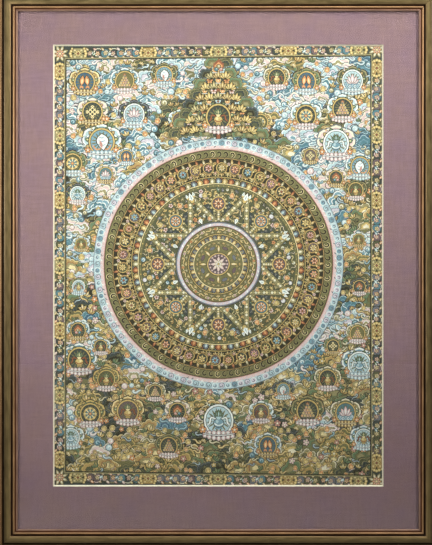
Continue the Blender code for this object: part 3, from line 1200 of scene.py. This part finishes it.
def noise(tree, place, stretch, detail=3.0, rough=0.55):
    """A noise value, 0 to 1. stretch is how many of its patches there are in a metre, along X, Y and Z."""
    scaled = node(tree, "VectorMath", {0: place, 1: stretch}, operation="MULTIPLY")
    settings = {"Vector": scaled.outputs[0], "Scale": 1.0, "Detail": detail, "Roughness": rough}
    return node(tree, "TexNoise", settings).outputs["Fac"]


def spread(tree, value, low, high):
    """Maps a noise value's middle range to low to high."""
    settings = {"Value": value, 1: 0.25, 2: 0.75, 3: low, 4: high}
    return node(tree, "MapRange", settings).outputs[0]


def mixed(tree, share, first, second, blend="MIX"):
    """Two colours mixed by a share."""
    made = node(tree, "Mix", data_type="RGBA", blend_type=blend)
    for socket, value in ((made.inputs[0], share), (made.inputs[6], first), (made.inputs[7], second)):
        if isinstance(value, bpy.types.NodeSocket):
            tree.links.new(value, socket)
        else:
            socket.default_value = value
    return made.outputs[2]


def ramp(tree, share, stops, interpolation="LINEAR"):
    """A colour ramp with stops of (position, colour). Returns its colour and its alpha."""
    made = node(tree, "ValToRGB", {"Fac": share})
    made.color_ramp.interpolation = interpolation
    elements = made.color_ramp.elements
    elements.remove(elements[1])
    elements[0].position = stops[0][0]
    elements[0].color = stops[0][1]
    for position, colour in stops[1:]:
        elements.new(position).color = colour
    return made.outputs["Color"], made.outputs["Alpha"]


def brightened(tree, colour, factor):
    """A colour times a value."""
    return node(tree, "VectorMath", {0: colour, "Scale": factor}, operation="SCALE").outputs[0]


def weave(tree, place, pitch, wobble=0.6):
    """The height of a plain weave, 0 to 1: two sets of threads, pitch apart, that wander a little."""
    parts = node(tree, "SeparateXYZ", {0: place})
    sets = []
    for along, across in (("X", "Z"), ("Z", "X")):
        sway = noise(tree, place, (40, 40, 40), 1.0)
        angle = maths(tree, "MULTIPLY", parts.outputs[across], TAU / pitch)
        angle = maths(tree, "MULTIPLY_ADD", sway, wobble * TAU, angle)
        sets.append(maths(tree, "SINE", angle))
    both = maths(tree, "MULTIPLY", *sets)
    return maths(tree, "MULTIPLY_ADD", both, 0.5, 0.5)


def bump(tree, shader, height, depth, strength=1.0):
    """Raises a surface by height, 0 to 1, times depth in metres."""
    made = node(tree, "Bump", {"Height": height, "Distance": depth, "Strength": strength})
    tree.links.new(made.outputs[0], shader.inputs["Normal"])


def object_place(tree):
    return node(tree, "TexCoord").outputs["Object"]


def mineral_paint():
    """Matt mineral colour with uneven washes, and gold paint with a slight gleam."""
    material, tree, shader = principled("mineral_paint", Specular_IOR_Level=0.25)
    place = object_place(tree)
    pigment = node(tree, "Attribute", attribute_name="pigment")
    gold = pigment.outputs["Alpha"]
    wash = spread(tree, noise(tree, place, (60, 60, 60)), 0.88, 1.1)
    grain = spread(tree, noise(tree, place, (900, 900, 900), 2.0), 0.82, 1.16)
    colour = brightened(tree, pigment.outputs["Color"], maths(tree, "MULTIPLY", wash, grain))
    tree.links.new(colour, shader.inputs["Base Color"])
    tree.links.new(maths(tree, "MULTIPLY_ADD", gold, -0.45, 0.85), shader.inputs["Roughness"])
    tree.links.new(maths(tree, "MULTIPLY", gold, 0.3), shader.inputs["Metallic"])
    bump(tree, shader, weave(tree, place, 0.55 * MM), 0.05 * MM, 0.5)
    return material


def cotton():
    """Bare sized cotton, for the cloth's back and its margins."""
    material, tree, shader = principled("sized_cotton", Roughness=0.9, Sheen_Weight=0.2)
    place = object_place(tree)
    tone = spread(tree, noise(tree, place, (25, 25, 25)), 0.0, 1.0)
    cloth = mixed(tree, tone, rgb(206, 194, 166), rgb(226, 216, 192))
    threads = weave(tree, place, 0.55 * MM)
    # The weave's hollows are painted darker and its crests lighter: painted shade
    shade = maths(tree, "MULTIPLY_ADD", threads, 0.2, 0.85)
    tree.links.new(brightened(tree, cloth, shade), shader.inputs["Base Color"])
    bump(tree, shader, threads, 0.1 * MM)
    return material


def linen():
    """Mauve linen: uneven threads in two tones, with slubs both ways."""
    material, tree, shader = principled("mauve_linen", Roughness=0.9, Specular_IOR_Level=0.15)
    place = object_place(tree)
    across = noise(tree, place, (55, 55, 1300), 3.0, 0.6)
    upright = noise(tree, place, (1300, 55, 55), 3.0, 0.6)
    slubs = spread(tree, maths(tree, "MULTIPLY_ADD", across, 0.5, maths(tree, "MULTIPLY", upright, 0.5)), 0.0, 1.0)
    patch = spread(tree, noise(tree, place, (30, 30, 30), 4.0), 0.0, 1.0)
    warm = mixed(tree, slubs, rgb(126, 100, 100), rgb(158, 128, 126))
    cool = mixed(tree, slubs, rgb(124, 98, 108), rgb(152, 124, 136))
    threads = weave(tree, place, 0.8 * MM)
    # The weave's hollows are painted darker and its crests lighter: painted shade
    shade = maths(tree, "MULTIPLY_ADD", threads, 0.16, 0.9)
    tree.links.new(brightened(tree, mixed(tree, patch, warm, cool), shade), shader.inputs["Base Color"])
    bump(tree, shader, maths(tree, "ADD", threads, slubs), 0.18 * MM)
    return material


def mat_core():
    """Cream mat board with paper fibres."""
    material, tree, shader = principled("cream_board", Roughness=0.85)
    place = object_place(tree)
    fibre = noise(tree, place, (500, 500, 900), 4.0)
    colour = mixed(tree, spread(tree, fibre, 0.0, 1.0), rgb(226, 214, 190), rgb(244, 236, 218))
    tree.links.new(colour, shader.inputs["Base Color"])
    bump(tree, shader, fibre, 0.06 * MM)
    return material


def hardboard():
    """Brown hardboard: pressed fibre with the print of its mesh."""
    material, tree, shader = principled("hardboard", Roughness=0.8)
    place = object_place(tree)
    fibre = noise(tree, place, (260, 260, 260), 6.0, 0.7)
    patch = spread(tree, noise(tree, place, (14, 14, 14)), 0.85, 1.12)
    colour = mixed(tree, spread(tree, fibre, 0.0, 1.0), rgb(104, 72, 46), rgb(158, 118, 80))
    tree.links.new(brightened(tree, colour, patch), shader.inputs["Base Color"])
    print_height = weave(tree, place, 2.2 * MM, 0.3)
    bump(tree, shader, maths(tree, "MULTIPLY_ADD", fibre, 0.6, print_height), 0.25 * MM)
    return material


# The gilding across the rail, with painted shade in it: the grooves are near black and the face is darker on its outer
# side. Each step is how far from the outer edge in millimetres, its sRGB colour and how metallic
GILT_AND_PAINTED_SHADE = (
    (0.0, (150, 112, 72), 0.4), (2.2, (186, 148, 100), 0.6), (4.2, (112, 76, 40), 0.4),
    (4.8, (34, 19, 8), 0.0), (6.4, (30, 17, 8), 0.0),
    (7.0, (112, 96, 66), 0.5), (9.5, (138, 118, 78), 0.6), (13.0, (176, 154, 102), 0.7),
    (16.4, (190, 162, 112), 0.7), (17.2, (58, 30, 8), 0.0), (19.2, (40, 18, 2), 0.0),
    (19.9, (214, 166, 116), 0.6), (22.2, (222, 178, 128), 0.6), (22.8, (120, 70, 34), 0.2),
    (24.3, (108, 60, 30), 0.2), (24.9, (196, 156, 130), 0.4), (27.0, (180, 144, 126), 0.4),
)


def gilt_wood():
    """Antique gold on toned wood, brushed along the rail, with painted shade in the grooves and on the outer side of
    the face. The rail's map gives metres along and across it.
    """
    material, tree, shader = principled("antique_gilt")
    rail_map = node(tree, "UVMap", uv_map="rail").outputs[0]
    parts = node(tree, "SeparateXYZ", {0: rail_map})
    share = maths(tree, "DIVIDE", parts.outputs["Y"], RAIL_WIDTH)
    # The ramp's stops hold painted shade: near-black grooves and a darker outer side of the face
    stops = [(at * MM / RAIL_WIDTH, rgb(*colour, metal)) for at, colour, metal in GILT_AND_PAINTED_SHADE]
    colour, metal = ramp(tree, share, stops)
    streak = noise(tree, rail_map, (9, 1100, 1), 4.0, 0.6)
    blotch = noise(tree, rail_map, (45, 160, 1), 4.0, 0.6)
    tone = maths(tree, "MULTIPLY", spread(tree, streak, 0.62, 1.3), spread(tree, blotch, 0.75, 1.2))
    tree.links.new(brightened(tree, colour, tone), shader.inputs["Base Color"])
    tree.links.new(metal, shader.inputs["Metallic"])
    tree.links.new(spread(tree, blotch, 0.3, 0.52), shader.inputs["Roughness"])
    bump(tree, shader, streak, 0.12 * MM)
    return material


def bare_wood():
    """Plain light wood, for the rail's back, sides and rebate, with its grain along the rail."""
    material, tree, shader = principled("bare_wood", Roughness=0.7)
    rail_map = node(tree, "UVMap", uv_map="rail").outputs[0]
    grain = noise(tree, rail_map, (6, 500, 1), 5.0, 0.65)
    colour = mixed(tree, spread(tree, grain, 0.0, 1.0), rgb(150, 110, 70), rgb(196, 158, 112))
    tree.links.new(colour, shader.inputs["Base Color"])
    bump(tree, shader, grain, 0.1 * MM)
    return material


def picture_glass():
    """Clear flat glass. Lamps shine through it, so that what lies behind it is lit."""
    material, tree, shader = principled(
        "picture_glass", Base_Color=rgb(250, 253, 251), Roughness=0.0, IOR=1.5, Transmission_Weight=1.0
    )
    clear = node(tree, "BsdfTransparent", {"Color": rgb(250, 253, 251)})
    shadow = node(tree, "LightPath").outputs["Is Shadow Ray"]
    both = node(tree, "MixShader", {0: shadow, 1: shader.outputs[0], 2: clear.outputs[0]})
    tree.links.new(both.outputs[0], tree.nodes["Material Output"].inputs["Surface"])
    return material


# The pieces, in metres in the frame's space

# The rails' section is part.py's, with finer arcs
RAIL_WIDTH = 0.027
BACK_WIDTH = 0.021
REBATE_DEPTH = 0.0122
MITRE_SETBACK = 0.0003 / 2 ** 0.5
STATION_PITCH = 0.012
ARC_STEPS = 10

# The front of the section, as stretches from the outer edge: end across, end height, rise of the arc
RAIL_ARCS = (
    (4.5, 18.2, 2.25), (6.5, 18.4, -2.2), (17.3, 17.2, 1.2), (19.7, 15.8, -2.2),
    (22.6, 15.8, 1.45), (24.6, 14.8, -1.1), (27.0, 14.0, 0.6),
)
RAIL_EDGE_HEIGHT = 18.2


def rail_section():
    """The rail's front as (across, height) in metres, from the outer edge to the sight."""
    points = []
    start, foot = 0.0, RAIL_EDGE_HEIGHT
    for end, height, rise in RAIL_ARCS:
        for step in range(ARC_STEPS):
            share = (1 - cos(pi * step / ARC_STEPS)) / 2
            lift = rise * sin(pi * step / ARC_STEPS)
            points.append(((start + (end - start) * share) * MM, (foot + (height - foot) * share + lift) * MM))
        start, foot = end, height
    return points + [(start * MM, foot * MM)]


def add_rail(side, length, turn, place, gilt, wood):
    """One mitred rail. It is made as the top rail is, turned about Y and moved to its place."""
    front = rail_section()
    plain = [(RAIL_WIDTH, REBATE_DEPTH), (BACK_WIDTH, REBATE_DEPTH), (BACK_WIDTH, 0), (0, 0)]
    section = front + plain
    count = len(section)
    stations = round(length / STATION_PITCH)
    spin = cmath.rect(1, -radians(turn))
    places = []
    along_at = []
    for station in range(stations + 1):
        share = 2 * station / stations - 1
        for i, (across, height) in enumerate(section):
            along = share * (length / 2 - across - MITRE_SETBACK)
            if i and i < len(front) - 1:
                height += 0.04 * MM * (sin(along * 130 + turn) * sin(along * 47 + across * 300) - 0.4)
            spot = spin * complex(along, -across)
            places.append((spot.real + place[0], -height, spot.imag + place[1]))
            along_at.append(along)
    faces = [tuple(range(count)), tuple(reversed(range(stations * count, (stations + 1) * count)))]
    for station in range(stations):
        for i in range(count):
            j = (i + 1) % count
            a, b = station * count, (station + 1) * count
            faces.append((a + i, b + i, b + j, a + j))
    rail = mesh_object(f"gilt_rail_{side}", places, faces, gilt, wood)
    layer = rail.data.uv_layers.new(name="rail")
    for face in rail.data.polygons:
        piece = min(face.vertices[0] % count, face.vertices[3] % count) if len(face.vertices) == 4 else count
        face.material_index = 0 if piece < len(front) - 1 else 1
        for corner in face.loop_indices:
            point = rail.data.loops[corner].vertex_index
            layer.data[corner].uv = (along_at[point], section[point % count][0])
    rail.data.shade_smooth()
    rail.data.set_sharp_from_angle(angle=radians(35))
    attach(rail, "root")
    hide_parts(f"rail_{side}")
    return rail


def add_rails():
    low, high = CAD_BOX
    gilt, wood = gilt_wood(), bare_wood()
    width, height = high[0] - low[0], high[2] - low[2]
    middle = (low[2] + high[2]) / 2
    add_rail("top", width, 0, (0, high[2]), gilt, wood)
    add_rail("right", height, 90, (high[0], middle), gilt, wood)
    add_rail("bottom", width, 180, (0, low[2]), gilt, wood)
    add_rail("left", height, -90, (low[0], middle), gilt, wood)


def ring_points(size, centre_z, y, steps, fray=0.0, rng=None):
    """Points round an upright rectangle, counter-clockwise from its lower left corner, steps to each side."""
    points = []
    for start, end in zip(CORNERS, CORNERS[1:] + CORNERS[:1]):
        for step in range(steps):
            share = step / steps
            x = (start[0] + (end[0] - start[0]) * share) * size[0] / 2
            z = (start[1] + (end[1] - start[1]) * share) * size[1] / 2
            wander = rng.uniform(-fray, fray) if rng and step else 0
            if start[0] == end[0]:
                x += wander
            else:
                z += wander
            points.append((x, y, centre_z + z))
    return points


def add_linen(finish):
    """The mat's linen: one sheet with a window, whose cut edge is a little uneven."""
    low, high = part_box("mat_linen")
    size = (high.x - low.x, high.z - low.z)
    middle = (low.z + high.z) / 2
    rng = random.Random(7)
    steps = 160
    window = ring_points(WINDOW_SIZE, WINDOW_Z, 0, steps, 0.12 * MM, rng)
    outer = ring_points(size, middle, 0, steps)
    between = [tuple((a + b) / 2 for a, b in zip(p, q)) for p, q in zip(outer, window)]
    places = []
    for ring, y in ((outer, low.y), (between, low.y), (window, low.y + 0.0001), (window, high.y), (outer, high.y)):
        places += [(x, y, z) for x, _, z in ring]
    count = 4 * steps
    faces = []
    for ring in range(5):
        for i in range(count):
            j = (i + 1) % count
            a, b = ring * count, (ring + 1) % 5 * count
            faces.append((a + i, a + j, b + j, b + i))
    sheet = mesh_object("linen_facing", places, faces, finish)
    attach(sheet, "root")
    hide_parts("mat_linen")


def shapes_of(painter, holes=()):
    """The shapes that a drawing function paints, with holes laid over them."""
    shapes = []
    painter(lambda pigment, outline: shapes.append((pigment, outline)))
    return shapes + [(None, hole) for hole in holes]


def plan_painting():
    """The films of paint, as (name, shapes, how many layers it stands on). The later ones overlap the first."""
    beyond = 400 + 400j
    lap = FILM_OVERLAP * (1 + 1j)
    field_holes = strips(FIELD_HALF, beyond)
    field_holes.append(disc(MANDALA_AT, MANDALA_RADIUS - FILM_OVERLAP, 120))
    field = shapes_of(lambda fill: paint_field(fill, random.Random(11)), field_holes)
    films = []
    for name, side in (("top", 1), ("foot", -1)):
        half = [shape for shape in field if max(side * point.imag for point in shape[1]) > 0]
        other = block(-beyond.real, min(0, -side * beyond.imag), beyond.real, max(0, -side * beyond.imag))
        films.append((f"paint_field_{name}", half + [(None, other)], 0))

    inside = FIELD_HALF - lap
    border_holes = [block(-inside.real, -inside.imag, inside.real, inside.imag)] + strips(PAINTED_HALF, beyond)
    border = shapes_of(lambda fill: paint_border(fill, random.Random(5)), border_holes)
    films.append(("paint_border", border, 1))
    mandala = shapes_of(lambda fill: paint_mandala(placed(fill, MANDALA_AT), random.Random(3)))
    films.append(("paint_mandala", mandala, 1))
    return films


def add_painting():
    """The cotton and the films of paint on it."""
    low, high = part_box("thangka_cloth")
    paint = mineral_paint()
    for name, shapes, layer in plan_painting():
        front = low.y - layer * FILM_THICK
        piece = film_object(name, shapes, front, FILM_THICK * 0.9, paint)
        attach(piece, "root")

    cloth_front = low.y + FILM_THICK
    rings = []
    for y in (cloth_front, high.y):
        rings += [(x, y, z) for x, _, z in ring_points((2 * high.x, high.z - low.z), (low.z + high.z) / 2, 0, 1)]
    faces = [(0, 1, 2, 3), (7, 6, 5, 4)] + [(i, i + 4, (i + 1) % 4 + 4, (i + 1) % 4) for i in range(4)]
    cloth = mesh_object("thangka_cotton", rings, faces, cotton())
    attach(cloth, "root")
    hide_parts("thangka_cloth")


def dress_boards():
    """Finishes for the solids that stay as they are."""
    for name, finish in (("glass", picture_glass()), ("mat_board", mat_core()), ("backing_board", hardboard())):
        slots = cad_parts[name].data.materials
        slots.clear()
        slots.append(finish)


# Camera, light and floor

# The photograph, in pixels: where the sight edges fall, and the picture's size
PICTURE = (432, 545)
SIGHT_LEFT, SIGHT_RIGHT = 17.7, 418.8
SIGHT_TOP, SIGHT_BOTTOM = 11.9, 528.5

# The sight's real width, and how far its edge and the camera stand in front of the wall
SIGHT_WIDTH = 0.600
SIGHT_Y = -0.014
CAMERA_DISTANCE = 3.0
SENSOR = 36.0


def add_camera():
    """A camera square to the painting, which sees the frame as the photograph does."""
    low, high = CAD_BOX
    pixel = SIGHT_WIDTH / (SIGHT_RIGHT - SIGHT_LEFT)
    x = (PICTURE[0] - SIGHT_LEFT - SIGHT_RIGHT) / 2 * pixel
    z = (low[2] + high[2]) / 2 + (SIGHT_TOP + SIGHT_BOTTOM - PICTURE[1]) / 2 * pixel
    data = bpy.data.cameras.new("camera")
    data.sensor_fit = "HORIZONTAL"
    data.sensor_width = SENSOR
    data.lens = SENSOR * CAMERA_DISTANCE / (PICTURE[0] * pixel)
    data.clip_start = 0.05
    camera = bpy.data.objects.new("camera", data)
    camera.location = (x, SIGHT_Y - CAMERA_DISTANCE, z)
    camera.rotation_euler = (pi / 2, 0, 0)
    bpy.context.collection.objects.link(camera)
    bpy.context.scene.camera = camera


def add_lamp(name, at, target, size, power, colour=(1, 1, 1), spread=pi):
    """A rectangular soft lamp that points at its target."""
    data = bpy.data.lights.new(name, "AREA")
    data.shape = "RECTANGLE"
    data.size, data.size_y = size
    data.energy = power
    data.color = colour
    data.spread = spread
    lamp = bpy.data.objects.new(name, data)
    lamp.location = at
    lamp.rotation_euler = (Vector(target) - Vector(at)).to_track_quat("-Z", "Y").to_euler()
    bpy.context.collection.objects.link(lamp)


def add_stage():
    """A pale floor, a soft sky and the studio's lamps."""
    floor_z = CAD_BOX[0][2]
    floor = mesh_object(
        "floor",
        [(x, y, floor_z) for x, y in ((-6, -6), (6, -6), (6, 6), (-6, 6))],
        [(0, 1, 2, 3)],
        principled("pale_floor", Base_Color=rgb(186, 184, 180), Roughness=0.9)[0],
    )

    world = bpy.data.worlds.new("studio")
    world.use_nodes = True
    sky = world.node_tree.nodes["Background"]
    sky.inputs["Color"].default_value = rgb(226, 228, 232)
    sky.inputs["Strength"].default_value = 0.03
    bpy.context.scene.world = world

    warm = (1, 0.98, 0.97)
    add_lamp("lamp_above", (0.25, -0.75, 0.62), (0.05, 0, -0.1), (1.3, 0.2), 2.2, warm, radians(110))
    add_lamp("lamp_right", (0.9, -0.75, 0.15), (0.0, 0, -0.22), (0.2, 0.5), 2.1, warm, radians(110))
    add_lamp("lamp_left", (-0.7, -0.65, -0.25), (-0.15, 0, -0.3), (0.2, 0.4), 1.3, warm, radians(120))
    add_lamp("lamp_spot", (-0.02, -1.2, 0.45), (0, 0, -0.1), (0.04, 0.04), 0.4, warm, radians(90))
    bpy.context.scene.view_settings.view_transform = "Standard"


add_camera()
add_rails()
dress_boards()
add_linen(linen())
add_painting()
add_stage()
